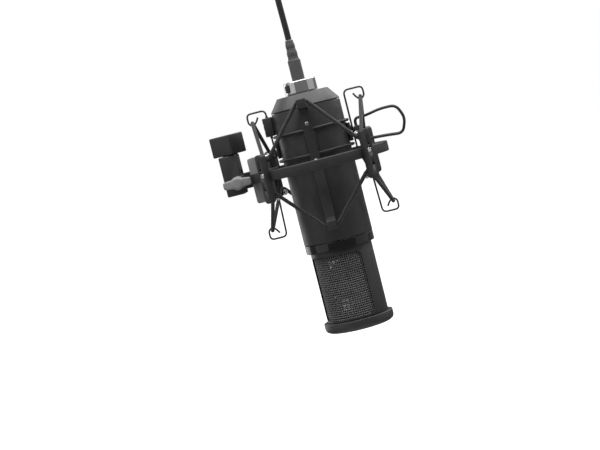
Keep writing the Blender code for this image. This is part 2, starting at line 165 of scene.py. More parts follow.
# %% Modifiers, soft edges and placing
def apply(piece, kind, **settings):
    """Adds a modifier, sets it and applies it."""
    active(piece)
    step = piece.modifiers.new(kind.lower(), kind)
    for name, value in settings.items():
        setattr(step, name, value)
    bpy.ops.object.modifier_apply(modifier=step.name)
    return piece


def eased(piece, width=0.3, segments=3, angle=30):
    """Small rounded edges, as paint, plating and moulding leave them."""
    apply(piece, "BEVEL", width=width * MM, segments=segments, limit_method="ANGLE",
          angle_limit=math.radians(angle), use_clamp_overlap=True)
    bpy.ops.object.shade_smooth_by_angle(angle=math.radians(38))
    return piece


def placed(piece, spot=(0, 0, 0), turn=(0, 0, 0)):
    """Turns a piece in degrees, moves it from the ring's middle, and applies both."""
    active(piece)
    piece.rotation_euler = [math.radians(v) for v in turn]
    piece.location = at(*spot)
    bpy.ops.object.transform_apply(location=True, rotation=True, scale=True)
    return piece


# %% Choosing faces
def choose(piece, wanted):
    """Edit mode on a piece, with only the faces that pass a test selected."""
    edit(piece)
    bpy.ops.mesh.select_all(action="DESELECT")
    bpy.ops.mesh.select_mode(type="FACE")
    mesh = bmesh.from_edit_mesh(piece.data)
    for face in mesh.faces:
        if wanted(face):
            face.select = True
    mesh.select_flush(True)
    bmesh.update_edit_mesh(piece.data)


# %% Rounding edges
def round_edges(piece, axis, radius, segments=8):
    """Rounds a block's four edges that run along one axis: 0 is X, 1 is Y and 2 is Z."""
    edit(piece)
    bpy.ops.mesh.select_all(action="DESELECT")
    bpy.ops.mesh.select_mode(type="EDGE")
    shape = bmesh.from_edit_mesh(piece.data)
    for edge in shape.edges:
        run = (edge.verts[0].co - edge.verts[1].co).normalized()
        edge.select = abs(run[axis]) > 0.9
    bmesh.update_edit_mesh(piece.data)
    bpy.ops.mesh.bevel(offset=radius * MM, segments=segments, affect="EDGES")
    bpy.ops.object.mode_set(mode="OBJECT")
    return piece


# %% Cutting, joining and copying
def fused(piece, other, operation="DIFFERENCE"):
    """One piece cut by another, or grown by it, and the other is gone."""
    apply(piece, "BOOLEAN", operation=operation, object=other, solver="EXACT")
    bpy.data.objects.remove(other, do_unlink=True)
    return piece


def joined(pieces):
    """Several pieces made one, named as the first."""
    active(pieces[0])
    for piece in pieces[1:]:
        piece.select_set(True)
    bpy.ops.object.join()
    return bpy.context.object


def copied(piece, name):
    """A copy with a mesh of its own."""
    copy = piece.copy()
    copy.data = piece.data.copy()
    copy.name = name
    bpy.context.collection.objects.link(copy)
    return copy


# %% [markdown]
# ## Turned, cut and bent
#
# A turned piece starts as one ring of points.  The ring is extruded along its profile, and each
# step is scaled to its radius, which leaves clean bands that take small rounded edges well.  A
# block starts as a cube at its size.  A bent wire starts as a path that is given a round section.
#
# The Screw modifier would turn a profile as well.  Extruding keeps every ring under the modeller's
# hand, and it closes a hollow piece into one wall that a Boolean can cut cleanly.


# %% A turned piece
def turned(name, profile, sides=96, soft=0.3):
    """A round piece from points (radius, height) in millimetres; a radius of 0 closes it."""
    rings = [point for point in profile if point[0] > 0]
    hollow = len(rings) == len(profile)
    clear()
    bpy.ops.mesh.primitive_circle_add(vertices=sides, radius=rings[0][0] * MM)
    piece = bpy.context.object
    piece.name = name
    edit(piece)
    bpy.ops.transform.translate(value=(0, 0, rings[0][1] * MM))
    if not hollow:
        bpy.ops.mesh.edge_face_add()
    for (r0, z0), (r1, z1) in zip(rings, rings[1:] + (rings[:1] if hollow else [])):
        bpy.ops.mesh.extrude_region_move(
            TRANSFORM_OT_translate={"value": (0, 0, (z1 - z0) * MM)})
        bpy.ops.transform.resize(value=(r1 / r0, r1 / r0, 1), center_override=(0, 0, z1 * MM))
    bpy.ops.mesh.select_all(action="SELECT")
    bpy.ops.mesh.remove_doubles(threshold=0.00001)
    bpy.ops.mesh.normals_make_consistent(inside=False)
    bpy.ops.object.mode_set(mode="OBJECT")
    if soft:
        eased(piece, soft, angle=20)
    return piece


# %% A block
def block(name, low, high, soft=0.5):
    """A block between two corners in millimetres, with rounded edges."""
    clear()
    bpy.ops.mesh.primitive_cube_add(size=1)
    piece = bpy.context.object
    piece.name = name
    piece.scale = [(b - a) * MM for a, b in zip(low, high)]
    piece.location = [(a + b) / 2 * MM for a, b in zip(low, high)]
    bpy.ops.object.transform_apply(location=True, rotation=True, scale=True)
    if soft:
        eased(piece, soft)
    return piece


# %% A round bar
def rod(name, start, end, radius, sides=32, soft=0):
    """A round bar between two points in millimetres."""
    a, b = Vector(start) * MM, Vector(end) * MM
    clear()
    bpy.ops.mesh.primitive_cylinder_add(vertices=sides, radius=radius * MM, depth=(b - a).length)
    piece = bpy.context.object
    piece.name = name
    piece.rotation_euler = (b - a).to_track_quat("Z", "Y").to_euler()
    piece.location = (a + b) / 2
    bpy.ops.object.transform_apply(location=True, rotation=True, scale=True)
    if soft:
        eased(piece, soft)
    return piece


# %% A plate from its outline
def plate(name, outline, half, soft=0.2):
    """A plate from an outline of (x, z) in millimetres, as thick as twice half along Y."""
    clear()
    bpy.ops.mesh.primitive_circle_add(vertices=len(outline), radius=MM)
    piece = bpy.context.object
    piece.name = name
    for point, (x, z) in zip(piece.data.vertices, outline):
        point.co = Vector((x, -half, z)) * MM
    edit(piece)
    bpy.ops.mesh.edge_face_add()
    bpy.ops.mesh.extrude_region_move(TRANSFORM_OT_translate={"value": (0, 2 * half * MM, 0)})
    bpy.ops.mesh.select_all(action="SELECT")
    bpy.ops.mesh.normals_make_consistent(inside=False)
    bpy.ops.object.mode_set(mode="OBJECT")
    return eased(piece, soft) if soft else piece


# %% A path with eased corners
def rounded(points, radius, cuts=6, closed=False):
    """A path with each corner eased by a short curve that starts a radius from it."""
    corners = [Vector(p) for p in points]
    path = []
    for i, corner in enumerate(corners):
        if not closed and i in (0, len(corners) - 1):
            path.append(corner)
            continue
        before, after = corners[i - 1], corners[(i + 1) % len(corners)]
        reach = min(radius, (corner - before).length * 0.45, (after - corner).length * 0.45)
        a = corner + (before - corner).normalized() * reach
        b = corner + (after - corner).normalized() * reach
        for step in range(cuts + 1):
            t = step / cuts
            path.append((1 - t) ** 2 * a + 2 * t * (1 - t) * corner + t ** 2 * b)
    return path


# %% A bent wire
def bent(name, points, radius, closed=False, roundness=4):
    """A round wire along points in millimetres, made a mesh at its place."""
    clear()
    bpy.ops.curve.primitive_nurbs_path_add()
    wire = bpy.context.object
    wire.name = name
    shape = wire.data
    shape.splines.clear()
    line = shape.splines.new("POLY")
    line.points.add(len(points) - 1)
    for point, spot in zip(line.points, points):
        point.co = (*(Vector(spot) * MM), 1)
    line.use_cyclic_u = closed
    shape.bevel_depth = radius * MM
    shape.bevel_resolution = roundness
    shape.use_fill_caps = not closed
    bpy.ops.object.convert(target="MESH")
    piece = bpy.context.object
    bpy.ops.object.shade_smooth_by_angle(angle=math.radians(50))
    return placed(piece)


print("bench tools ready")

# %% [markdown]
# ## The lead
#
# A microphone lead is a round 4 mm cable with a soft jacket.  The boom arm holds it straight above
# the plug, so it is a taut length with a cable clip at its far end and not a coil.  It could stay a
# curve.  As a mesh tube it joins the boot and the clip face to face, and its slight lean keeps it
# from looking like a rod.

# %% Lead and clip
LEAD_R, BOOT_TOP, LEAD_END, CLIP_Z = 2.0, 82.0, 140.0, 143.0
lean_out = [(0.0, 0.0), (0.0, 6.0), (-0.1, 12.0), (-0.2, 18.0), (-0.3, 24.0), (-0.3, 30.0),
            (-0.2, 36.0), (0.0, 42.0), (0.4, 48.0), (1.0, 54.0), (1.7, LEAD_END - BOOT_TOP - GAP)]
route = [(x, 0.0, BOOT_TOP + GAP + z) for x, z in lean_out]
lead = bent("lead", route, LEAD_R, roundness=7)

clip_x = route[-1][0]
clip = block("lead_clip", (clip_x - 9, -4, LEAD_END + GAP), (clip_x + 4, 4, CLIP_Z + 3), 1.0)
placed(clip)
clip_hole = rod("clip_hole", (clip_x - 5.5, -6, CLIP_Z + 0.2), (clip_x - 5.5, 6, CLIP_Z + 0.2), 1.7)
fused(clip, placed(clip_hole))
for piece in (lead, clip):
    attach(piece, "cradle")
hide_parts("lead_cord")
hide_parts("cable_clip")

# %% [markdown]
# ## Paints, metals and plastics
#
# Each finish is named for what it is made of and how its surface was made.  The helper below
# adds one node, sets its values and links what is given as a socket.  Colours are written as
# sRGB hex, as on a colour card, and one function turns them to the linear values that the
# shader takes.  The finest real grains would vanish at this distance, so they are drawn a little
# coarse.


# %% Colour and node helpers
def colour(hex_code):
    """Linear red, green, blue and alpha from an sRGB hex code."""
    parts = [int(hex_code[i:i + 2], 16) / 255 for i in (1, 3, 5)]
    return (*[v / 12.92 if v <= 0.04045 else ((v + 0.055) / 1.055) ** 2.4 for v in parts], 1.0)


def node(tree, kind, inputs=None, **settings):
    """Adds a node with its settings; an input is given a value, or another node's socket."""
    made = tree.nodes.new(kind)
    for name, value in settings.items():
        setattr(made, name, value)
    for name, value in (inputs or {}).items():
        if isinstance(value, bpy.types.NodeSocket):
            tree.links.new(value, made.inputs[name])
        else:
            made.inputs[name].default_value = value
    return made


def shaded(name, tone, **sockets):
    """A new material, with its tree and its shader set to one tone."""
    made = bpy.data.materials.new(name)
    made.use_nodes = True
    shader = made.node_tree.nodes["Principled BSDF"]
    shader.inputs["Base Color"].default_value = colour(tone)
    for socket, value in sockets.items():
        shader.inputs[socket.replace("_", " ")].default_value = value
    return made, made.node_tree, shader


# %% A finish with a grain
def grained(name, tone, worn_tone, rough, grain, depth, cloud=9.0, **sockets):
    """A finish with a fine grain in millimetres, slow cloudy wear and a roughness range."""
    made, tree, shader = shaded(name, tone, **sockets)
    where = node(tree, "ShaderNodeTexCoord").outputs["Object"]
    fine = node(tree, "ShaderNodeTexNoise",
                {"Vector": where, "Scale": 1 / (grain * MM), "Detail": 3.0, "Roughness": 0.6})
    slow = node(tree, "ShaderNodeTexNoise",
                {"Vector": where, "Scale": 1 / (cloud * MM), "Detail": 4.0, "Roughness": 0.55})
    tint = node(tree, "ShaderNodeValToRGB", {"Fac": slow.outputs["Fac"]})
    tint.color_ramp.elements[0].position, tint.color_ramp.elements[1].position = 0.35, 0.75
    tint.color_ramp.elements[0].color = colour(tone)
    tint.color_ramp.elements[1].color = colour(worn_tone)
    tree.links.new(tint.outputs["Color"], shader.inputs["Base Color"])
    gloss = node(tree, "ShaderNodeMapRange", {"Value": slow.outputs["Fac"], "From Min": 0.3,
                                              "From Max": 0.7, "To Min": rough[0],
                                              "To Max": rough[1]})
    tree.links.new(gloss.outputs["Result"], shader.inputs["Roughness"])
    bump = node(tree, "ShaderNodeBump", {"Height": fine.outputs["Fac"], "Strength": 1.0,
                                         "Distance": depth * MM})
    tree.links.new(bump.outputs["Normal"], shader.inputs["Normal"])
    return made


# %% [markdown]
# Satin powder coat on the body is a fine pebble of about half a millimetre, so it holds a wide
# soft highlight.  The collar is lacquered brass or steel, and has a hard, dark gloss.  Spark-
# eroded moulds leave the black ABS a finer but deeper grain, duller than the paint, and the grey
# nylon of the knob and cheeks is the same moulding in a paler tone.

# %% Painted, lacquered and moulded finishes
powder_coat = grained("satin_powder_coated_brass", "#2a2a2b", "#303031", (0.38, 0.46), 0.55, 0.006)
gloss_lacquer = grained("gloss_black_lacquer", "#040404", "#070707", (0.10, 0.16), 1.2, 0.0006,
                        Coat_Weight=0.15, Coat_Roughness=0.05)
moulded_abs = grained("spark_textured_black_ABS", "#242425", "#2b2b2c", (0.46, 0.56), 0.35, 0.010)
grey_abs = grained("moulded_grey_nylon", "#7c7c7d", "#878788", (0.42, 0.5), 0.4, 0.008)
print("paint, lacquer and moulded finishes ready")

# %% [markdown]
# Rubber scatters light all ways, so the pads and the boot look soft and flat, with no clear
# highlight.  The boot's rubber has bloomed to a grey.  The lead's PVC jacket is a little shinier.

# %% Rubber and soft PVC
rubber = grained("moulded_black_rubber", "#1a1a1a", "#202020", (0.66, 0.78), 0.3, 0.012)
boot_rubber = grained("moulded_grey_rubber", "#454546", "#4e4e4f", (0.6, 0.72), 0.3, 0.012)
lead_jacket = grained("soft_PVC_lead_jacket", "#161616", "#1c1c1c", (0.5, 0.62), 0.8, 0.004)
print("rubber and PVC ready")

# %% [markdown]
# Phosphating leaves the spring steel a dull grey-black, and the mesh is blackened but a little
# brighter, so that it shows as a grey haze.  Zinc plate is a cloudy grey metal.  Chrome is the
# only mirror here.  Brass, the sputtered film and the anodised capsule are satin metals, glimpsed
# through the mesh or inside, like the green of the circuit board and the red of its wires.

# %% Metals and inner finishes
wire_black = grained("phosphated_spring_steel", "#303031", "#3a3a3b", (0.34, 0.46), 0.5, 0.003,
                     Metallic=0.55)
mesh_steel = grained("blackened_steel_mesh", "#5e5e5f", "#6a6a6b", (0.4, 0.5), 0.3, 0.003,
                     Metallic=0.3)
zinc = grained("zinc_plated_steel", "#909091", "#a5a5a6", (0.28, 0.42), 0.6, 0.003, Metallic=1.0)
chrome = grained("polished_chrome_plate", "#cbcbcb", "#d8d8d8", (0.05, 0.10), 2.0, 0.0003,
                 cloud=14.0, Metallic=1.0)
brass = grained("turned_brass", "#b08a3e", "#c49d50", (0.24, 0.36), 0.5, 0.003, Metallic=1.0)
film_metal = grained("aluminium_sputtered_film", "#6f6f70", "#7c7c7d", (0.22, 0.3), 3.0, 0.002,
                     Metallic=1.0)
dark_anodised = grained("dark_anodised_aluminium", "#3a3a3b", "#454546", (0.34, 0.44), 0.4, 0.003,
                        Metallic=0.8)
board_green = grained("glass_epoxy_circuit_board", "#14502f", "#1a5c37", (0.32, 0.44), 0.5, 0.004)
red_pvc = grained("red_PVC_wire", "#8e1d1a", "#a02521", (0.36, 0.46), 0.5, 0.002)
print("metals and inner finishes ready")

# %% [markdown]
# The elastic is a latex core in a braid of black polyester.  The braid has two sets of threads
# that wind opposite ways.  A pattern on Object coordinates would not follow the cord round its
# bends, so this one reads the cord's own map: one direction runs along it and one round it.


# %% Braided elastic
def braided(name, tone, thread_tone, long_mm):
    """A braid on a cord of this length: two sets of slanting threads, 1.6 mm along the cord."""
    made, tree, shader = shaded(name, tone, Roughness=0.82, Sheen_Weight=0.25)
    where = node(tree, "ShaderNodeTexCoord").outputs["UV"]
    apart = node(tree, "ShaderNodeSeparateXYZ", {"Vector": where})
    along = node(tree, "ShaderNodeMath", {0: apart.outputs["X"], 1: long_mm / 1.6},
                 operation="MULTIPLY").outputs[0]
    about = node(tree, "ShaderNodeMath", {0: apart.outputs["Y"], 1: 4.0},
                 operation="MULTIPLY").outputs[0]
    threads = []
    for operation in ("ADD", "SUBTRACT"):
        slant = node(tree, "ShaderNodeMath", {0: along, 1: about}, operation=operation)
        cell = node(tree, "ShaderNodeMath", {0: slant.outputs[0], 1: 0.5}, operation="PINGPONG")
        threads.append(node(tree, "ShaderNodeMath", {0: cell.outputs[0], 1: 2.0},
                            operation="MULTIPLY").outputs[0])
    weave = node(tree, "ShaderNodeMath", {0: threads[0], 1: threads[1]}, operation="MULTIPLY")
    tint = node(tree, "ShaderNodeValToRGB", {"Fac": weave.outputs[0]})
    tint.color_ramp.elements[0].color = colour(tone)
    tint.color_ramp.elements[1].color = colour(thread_tone)
    tree.links.new(tint.outputs["Color"], shader.inputs["Base Color"])
    bump = node(tree, "ShaderNodeBump", {"Height": weave.outputs[0], "Strength": 0.8,
                                         "Distance": 0.12 * MM})
    tree.links.new(bump.outputs["Normal"], shader.inputs["Normal"])
    return made


# %% Giving a piece its finish
def finished(piece, material, body, slot, *stands_for):
    """A piece gets its finish and rides on its body, in place of the nodes it stands for."""
    piece.data.materials.clear()
    piece.data.materials.append(material)
    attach(piece, body)
    if stands_for:
        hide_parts(*stands_for)
    return piece


for piece, finish in ((lead, lead_jacket), (clip, moulded_abs)):
    piece.data.materials.clear()
    piece.data.materials.append(finish)
print("braid ready")

# %% [markdown]
# ## Microphone body
#
# The housing is turned from tube: a long body, a glossy collar below it, a coned tail with the
# connector's bore, and a narrower grille.  One cylinder with painted bands would look right from
# afar, but the real seams are steps with their own shadow, so each section is a wall of its own.
# Turned edges are broken by about 0.3 mm, which is what catches the light along each rim.

# %% Housing
BODY_R, BODY_LOW = 23.0, -51.2
ROUND_SIDES = 128
tube = turned("body_shell", [(BODY_R, BODY_TOP), (BODY_R, BODY_LOW), (21.5, BODY_LOW),
                             (21.5, BODY_TOP)], ROUND_SIDES)
finished(placed(tube), powder_coat, "cradle", "black_paint", "body_tube")
collar = turned("collar_band", [(21.2, -47), (21.2, -51.5), (22.9, -51.5), (22.9, -57.2),
                                (18.4, -57.2), (18.4, -47)], ROUND_SIDES, 0.25)
finished(placed(collar), gloss_lacquer, "cradle", "gloss_band", "body_collar")
tail = turned("tail_cone_shell", [(17, 46.6), (BODY_R, 38.5), (BODY_R, 37.8), (21.2, 37.8), (21.2, 31),
                                  (9.8, 31), (9.8, 46.6)], ROUND_SIDES, 0.3)
finished(placed(tail), powder_coat, "cradle", "black_paint", "tail_cone")
print("housing", len(tube.data.polygons) + len(collar.data.polygons) + len(tail.data.polygons))

# %% [markdown]
# The grille frame is a thin tube with two wide windows, one in front and one behind.  Deleting
# faces would leave ragged openings with no wall.  A block with rounded corners cuts both windows
# at once, because it passes right through, and it leaves the tube's real thickness at the edge.

# %% Grille frame
GRILLE_R, GRILLE_IN, GRILLE_TOP, GRILLE_LOW = 20.5, 19.7, -57.5, -104.2
WINDOW_TURN, WINDOW_HALF, WINDOW_TOP, WINDOW_LOW = -21.0, 17.7, -60.3, -103.0
cage = turned("grille_frame_shell", [(GRILLE_R, GRILLE_TOP), (GRILLE_R, GRILLE_LOW),
                                     (GRILLE_IN, GRILLE_LOW), (GRILLE_IN, GRILLE_TOP)],
              ROUND_SIDES, 0)
window = block("window_cutter", (-WINDOW_HALF, -30, WINDOW_LOW), (WINDOW_HALF, 30, WINDOW_TOP), 0)
round_edges(window, 1, 4.0, 10)
placed(window, turn=(0, 0, WINDOW_TURN))
fused(placed(cage), window)
eased(cage, 0.2, 2, 50)
finished(cage, powder_coat, "cradle", "black_paint", "grille_frame")
print("grille frame", len(cage.data.polygons))

# %% [markdown]
# Behind the windows is a square steel mesh with holes of 0.8 mm and lines of 0.6 mm.  Just inside
# it is a finer gauze, which keeps breath and dust off the capsule.  Both have real holes, because
# some daylight shows through the two windows.  A see-through pattern on a plain tube would be
# lighter to draw, but it would have no thickness and would be lost in the model's mesh.  A ring of
# points is extruded in rows, and the Wireframe modifier turns each edge into a square wire.


# %% Grille mesh and gauze
def screen(name, radius, columns, rows, wire):
    """A square mesh rolled into a tube: columns round it, rows along it, and the wire's width."""
    top = GRILLE_TOP - GAP
    row = (GRILLE_LOW - top) / rows
    clear()
    bpy.ops.mesh.primitive_circle_add(vertices=columns, radius=radius * MM)
    made = bpy.context.object
    made.name = name
    edit(made)
    bpy.ops.transform.translate(value=(0, 0, top * MM))
    for _ in range(rows):
        bpy.ops.mesh.extrude_region_move(TRANSFORM_OT_translate={"value": (0, 0, row * MM)})
    bpy.ops.mesh.select_all(action="SELECT")
    bpy.ops.mesh.normals_make_consistent(inside=False)
    return apply(made, "WIREFRAME", thickness=wire * MM, use_even_offset=True, use_boundary=True)


MESH_R, MESH_COLUMNS, MESH_ROWS, MESH_WIRE = 19.15, 84, 32, 0.6
GAUZE_R, GAUZE_COLUMNS, GAUZE_ROWS, GAUZE_WIRE = 18.45, 120, 46, 0.55
mesh = screen("grille_wire_mesh", MESH_R, MESH_COLUMNS, MESH_ROWS, MESH_WIRE)
finished(placed(mesh), mesh_steel, "cradle", "grille_steel", "grille_mesh")
gauze = screen("grille_gauze", GAUZE_R, GAUZE_COLUMNS, GAUZE_ROWS, GAUZE_WIRE)
finished(placed(gauze), wire_black, "cradle", "grille_steel")
print("mesh", len(mesh.data.polygons), "and gauze", len(gauze.data.polygons), "faces")

# %% [markdown]
# The end cap is a turned disc that plugs the grille and stands proud of it.  Its outer edge rolls
# under in three short steps, which one bevel could not do, because the curve gets flatter inward.

# %% End cap
CAP_R = 23.2
cap = turned("grille_foot", [(0, -101.5), (18.5, -101.5), (18.5, -104.5), (CAP_R, -104.5),
                             (CAP_R, -108.6), (22.5, -110.2), (20.6, -111.3), (17.2, -111.8),
                             (0, -111.8)], ROUND_SIDES, 0.5)
finished(placed(cap), powder_coat, "cradle", "black_paint", "grille_end_cap")
print("end cap", len(cap.data.polygons))

# %% [markdown]
# ## Plug and boot
#
# The lead's plug has a chromed shell, a black latch button in a window, and a soft boot that
# steps in and tapers, so the lead bends gently where it leaves.  The steps are part of the turned
# profile.  Rings added round a plain cone would hide the fact that the boot is one moulding.

# %% Plug
shell = turned("plug_sleeve", [(4.6, 55.2), (10.2, 55.2), (10.7, 54.7), (10.7, 47.0), (9.3, 47.0),
                               (9.3, 37.2), (8.4, 37.2), (8.4, 52.8), (4.6, 52.8)], 96, 0.15)
latch_window = block("latch_window", (7.5, -2.4, 48.8), (12, 2.4, 53.4), 0.4)
placed(shell)
fused(shell, placed(latch_window, turn=(0, 0, -140)))
eased(shell, 0.08, 2, 50)
finished(shell, chrome, "cradle", "chrome", "plug_shell")
latch = block("latch_button", (8.9, -2.0, 49.2), (11.35, 2.0, 53.0), 0.4)
for groove in range(3):
    z = 50.2 + groove * 0.9
    fused(latch, block("groove", (11.0, -3, z), (12, 3, z + 0.35), 0))
finished(placed(latch, turn=(0, 0, -140)), moulded_abs, "latch", "black_plastic", "plug_latch")

boot_steps = [(0, BOOT_TOP), (2.6, BOOT_TOP), (2.75, 80.0), (3.0, 79.6), (3.1, 77.4), (2.9, 77.0),
              (3.2, 74.6), (3.4, 74.2), (3.5, 72.0), (3.3, 71.6), (3.6, 69.2), (4.2, 68.6),
              (4.2, 51.3), (0, 51.3)]
boot = turned("plug_strain_relief", boot_steps, 64, 0.15)
finished(placed(boot), boot_rubber, "cradle", "rubber", "plug_boot")
print("plug", len(shell.data.polygons))

# %% [markdown]
# ## The cradle
#
# Two wire hoops clasp the body.  Flat steel strips stand in front and behind, and a thin wire
# hook stands at each side; their curled ends hold the elastic.  A loop of wire on the right is
# squeezed to open the hoops, and a small block on the left is their hinge.  A torus would do for
# the hoops but not for the hooks, so every wire is bent along its own line in the same way.

# %% Hoops
HOOP_R, HOOP_WIRE, HOOP_HIGH, HOOP_DEEP = 24.6, 1.0, 22.7, 6.6
for name, height in (("hoop_upper", HOOP_HIGH), ("hoop_lower", HOOP_DEEP)):
    circle = [around(i * 3.75, HOOP_R, 0, height) for i in range(96)]
    hoop = bent(f"{name}_wire", circle, HOOP_WIRE, closed=True)
    finished(hoop, wire_black, "cradle", "spring_wire", name)
print("hoops ready")

# %% Hooks and squeeze handles
HOOK_WIRE, HANDLE_WIRE, HANDLE_X, HANDLE_Y = 0.6, 0.9, 29.2, 2.7


def hook_line(side):
    """A side hook from its upper curl, over the top, down the cradle and round its lower curl."""
    line = [(32.2, 38.4), (33.9, 35.4), (36.5, 33.4), (39.1, 35.4), (39.1, 41.7), (26.5, 41.7),
            (26.5, 2.0), (31.8, -16.0), (32.6, -42.0), (43.6, -42.0), (43.6, -36.0),
            (41.0, -34.1), (38.4, -36.0), (36.6, -38.8)]
    return rounded([(side * x, 0, z) for x, z in line], 3.2, 8)


def handle_line(side):
    """A squeeze handle: a closed loop whose near side is its pivot."""
    flare = 0.05
    line = [(HANDLE_X, 22.5), (36, 22.3), (47, 24.4), (57.5, 24.2), (61.4, 15.0), (58.0, 5.4),
            (46.8, 6.6), (36, 7.2), (HANDLE_X, 6.6)]
    return rounded([(x, side * (HANDLE_Y + (x - HANDLE_X) * flare), z) for x, z in line],
                   4.0, 8, closed=True)


for name, side in (("left", -1), ("right", 1)):
    hook = bent(f"hook_wire_{name}", hook_line(side), HOOK_WIRE)
    finished(hook, wire_black, "cradle", "spring_wire", f"cradle_hook_{name}")
for name, side in (("front", -1), ("back", 1)):
    grip = bent(f"squeeze_loop_{name}", handle_line(side), HANDLE_WIRE, closed=True)
    finished(grip, wire_black, f"handle_{name}", "spring_wire", f"handle_{name}")
print("hooks and handles ready")

# %% [markdown]
# The strips are pressed from flat steel.  Each end is folded out to a shelf with an upturned
# lip.  The folds could be made one by one on a flat bar, but all of them show in the side view.
# So the outline of the folded strip is filled, and extruded across its 6 mm width in one move.

# %% Strips with their rivets
half_strip = [(27.4, 0), (27.4, 35.5), (33.5, 37.0), (33.5, 43.0), (32.2, 43.0), (31.9, 39.5),
              (25.9, 39.5), (25.9, 0)]
strip_line = half_strip + [(r, -z) for r, z in reversed(half_strip[1:-1])]
rivet_face, rivet_heights = 27.4, (26.6, 2.2)
for name, azimuth in (("front", FRONT), ("back", BACK)):
    strip = plate(f"cradle_plate_{name}", strip_line, 3.1, 0.35)
    finished(placed(strip, turn=(0, 0, azimuth)), powder_coat, "cradle", "black_paint",
             f"cradle_strip_{name}")
    for number, height in enumerate(rivet_heights, 1):
        rivet = turned(f"rivet_{name}_{number}", [(0, 0), (1.5, 0), (1.5, 0.3), (1.15, 0.7),
                                                  (0.6, 0.9), (0, 0.9)], 24, 0.12)
        spot = around(azimuth, rivet_face - 0.1, 0, height)
        finished(placed(rivet, spot, (0, 90, azimuth)), zinc, "cradle", "zinc_steel")
print("strips and rivets ready")

# %% [markdown]
# The hinge block is three knuckles on a pin, marked off by two shallow grooves, and the bracket
# holds the pivots of the two handles.  Both are mouldings, so each is one block with rounded
# edges, cut by thin blocks or by round bars.  Separate knuckles would not lie so well in line.

# %% Hinge block and handle bracket
hinge = block("hoop_hinge", (-29.6, -4.5, 24.1), (-23.4, 4.5, 36.6), 0.6)
for z in (28.2, 32.0):
    fused(hinge, block("knuckle_gap", (-31, -6, z), (-29.2, 6, z + 0.35), 0))
pin = rod("hinge_pin", (-26.5, 0, 22.8), (-26.5, 0, 37.6), 0.9, 24)
hinge = joined([hinge, pin])
bpy.ops.object.shade_smooth_by_angle(angle=math.radians(38))
finished(placed(hinge), moulded_abs, "cradle", "black_plastic", "cradle_hinge_block")

bracket = block("handle_pivot_bracket", (27.5, -5.4, 11.5), (31.4, 5.4, 17.5), 0.5)
for y in (-HANDLE_Y, HANDLE_Y):
    fused(bracket, rod("pivot_hole", (HANDLE_X, y, 9), (HANDLE_X, y, 20), 1.45, 24))
finished(placed(bracket), moulded_abs, "cradle", "black_plastic", "handle_bracket")
print("hinge and bracket ready")

# %% [markdown]
# Four rubber pads keep the hoops off the paint.  A pad is a rectangle spun through a short arc
# round the microphone's axis, which gives it the body's curve on both faces.

# %% Grip pads
PAD_R, PAD_THICK, PAD_TALL, PAD_Z, PAD_SPAN = 24.45, 2.1, 12.1, 14.65, 18.4
for name, azimuth in (("front", FRONT), ("right", RIGHT), ("back", BACK), ("left", LEFT)):
    clear()
    bpy.ops.mesh.primitive_plane_add(size=1)
    pad = bpy.context.object
    pad.name = f"rubber_pad_{name}"
    edit(pad)
    bpy.ops.transform.resize(value=(PAD_THICK * MM, PAD_TALL * MM, 1))
    bpy.ops.transform.rotate(value=math.radians(90), orient_axis="X", center_override=(0, 0, 0))
    bpy.ops.transform.translate(value=(PAD_R * MM, 0, PAD_Z * MM))
    bpy.ops.mesh.spin(steps=8, angle=math.radians(PAD_SPAN), center=(0, 0, 0), axis=(0, 0, 1))
    bpy.ops.mesh.select_all(action="SELECT")
    bpy.ops.mesh.normals_make_consistent(inside=False)
    bpy.ops.object.mode_set(mode="OBJECT")
    eased(pad, 0.5)
    # the spin ran clockwise, so half of it turns the pad back to the middle of its place
    finished(placed(pad, turn=(0, 0, azimuth + PAD_SPAN / 2)), rubber, "cradle", "rubber",
             f"grip_pad_{name}")
print("pads ready")

# %% [markdown]
# ## Elastic cords
#
# Each cord is one closed loop.  It runs over the four cradle ends and round four pegs of the
# ring, and it stretches when the cradle bobs.  Eight straight cords would part at the pegs as they
# moved, so each cord is one path, drawn at rest.

# %% Paths of the elastic
ELASTIC_R, PEG_LANE, PIECES_A_SIDE = 1.25, 43.6, 6


def zigzag(strip_z, hook_out, hook_z, peg_z, dip):
    """The closed path of a cord over the cradle's hooks and round the ring's pegs."""
    path = []
    for azimuth in (FRONT, RIGHT, BACK, LEFT):
        if azimuth in (FRONT, BACK):
            hold = [(29.8, -3.3, strip_z), (29.8, 3.3, strip_z)]
        else:
            hold = [(hook_out, -1.1, hook_z), (hook_out, 1.1, hook_z)]
        path += [around(azimuth, *point) for point in hold]
        path += [around(azimuth + 45, PEG_LANE, across, peg_z + lift)
                 for across, lift in ((-1.9, dip), (0, 0), (1.9, dip))]
    return path


def stretches(line):
    """The same closed path with every side cut into short pieces."""
    sides = zip(line, line[1:] + line[:1])
    return [a.lerp(b, i / PIECES_A_SIDE) for a, b in sides for i in range(PIECES_A_SIDE)]


# %% Upper and lower cord
for name, sizes, ring_z, cradle_z in (("upper", (41.1, 36.5, 35.6, 9.9, 0.35), 11.0, 34.0),
                                      ("lower", (-41.1, 41.0, -36.3, -12.1, -0.35), -13.2, -34.0)):
    eased_line = rounded(zigzag(*sizes), 0.9, 3, closed=True)
    long_mm = sum((b - a).length for a, b in zip(eased_line, eased_line[1:] + eased_line[:1]))
    cord = bent(f"elastic_cord_{name}", stretches(eased_line), ELASTIC_R, closed=True, roundness=3)
    cord.data.materials.clear()
    cord.data.materials.append(braided(f"braided_polyester_elastic_{name}", "#171717", "#303031",
                                       long_mm))
    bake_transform(cord)
    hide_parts(f"elastic_{name}")
    print("elastic", name, round(long_mm), "mm round,", len(cord.data.polygons), "faces")

